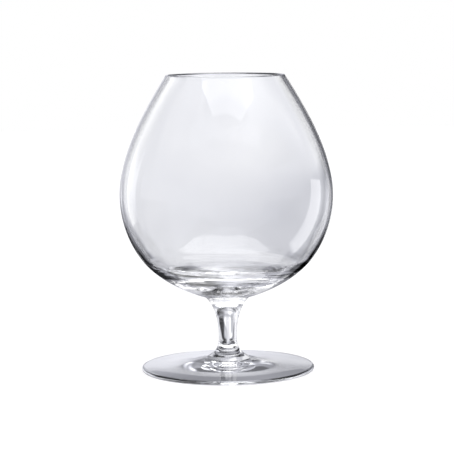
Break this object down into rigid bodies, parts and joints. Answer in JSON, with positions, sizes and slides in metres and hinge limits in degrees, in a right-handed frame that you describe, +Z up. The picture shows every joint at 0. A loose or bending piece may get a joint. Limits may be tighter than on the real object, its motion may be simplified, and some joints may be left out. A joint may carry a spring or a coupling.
{
  "type": "brandy snifter",
  "caption": "Clear brandy snifter: a thin round bowl that narrows to its rim, on a short waisted stem and a wide flat foot.",
  "frame": {"origin": "middle of the foot, in the plane that it stands on", "axes": "+Z up along the stem towards the rim; X and Y are any two level directions, because the glass is round"},
  "size_m": [0.11, 0.11, 0.153],
  "materials": {
    "clear_glass": "clear, fire-polished"
  },
  "bodies": {
    "root": {"bowl": "clear_glass", "stem": "clear_glass", "foot": "clear_glass"}
  },
  "joints": []
}
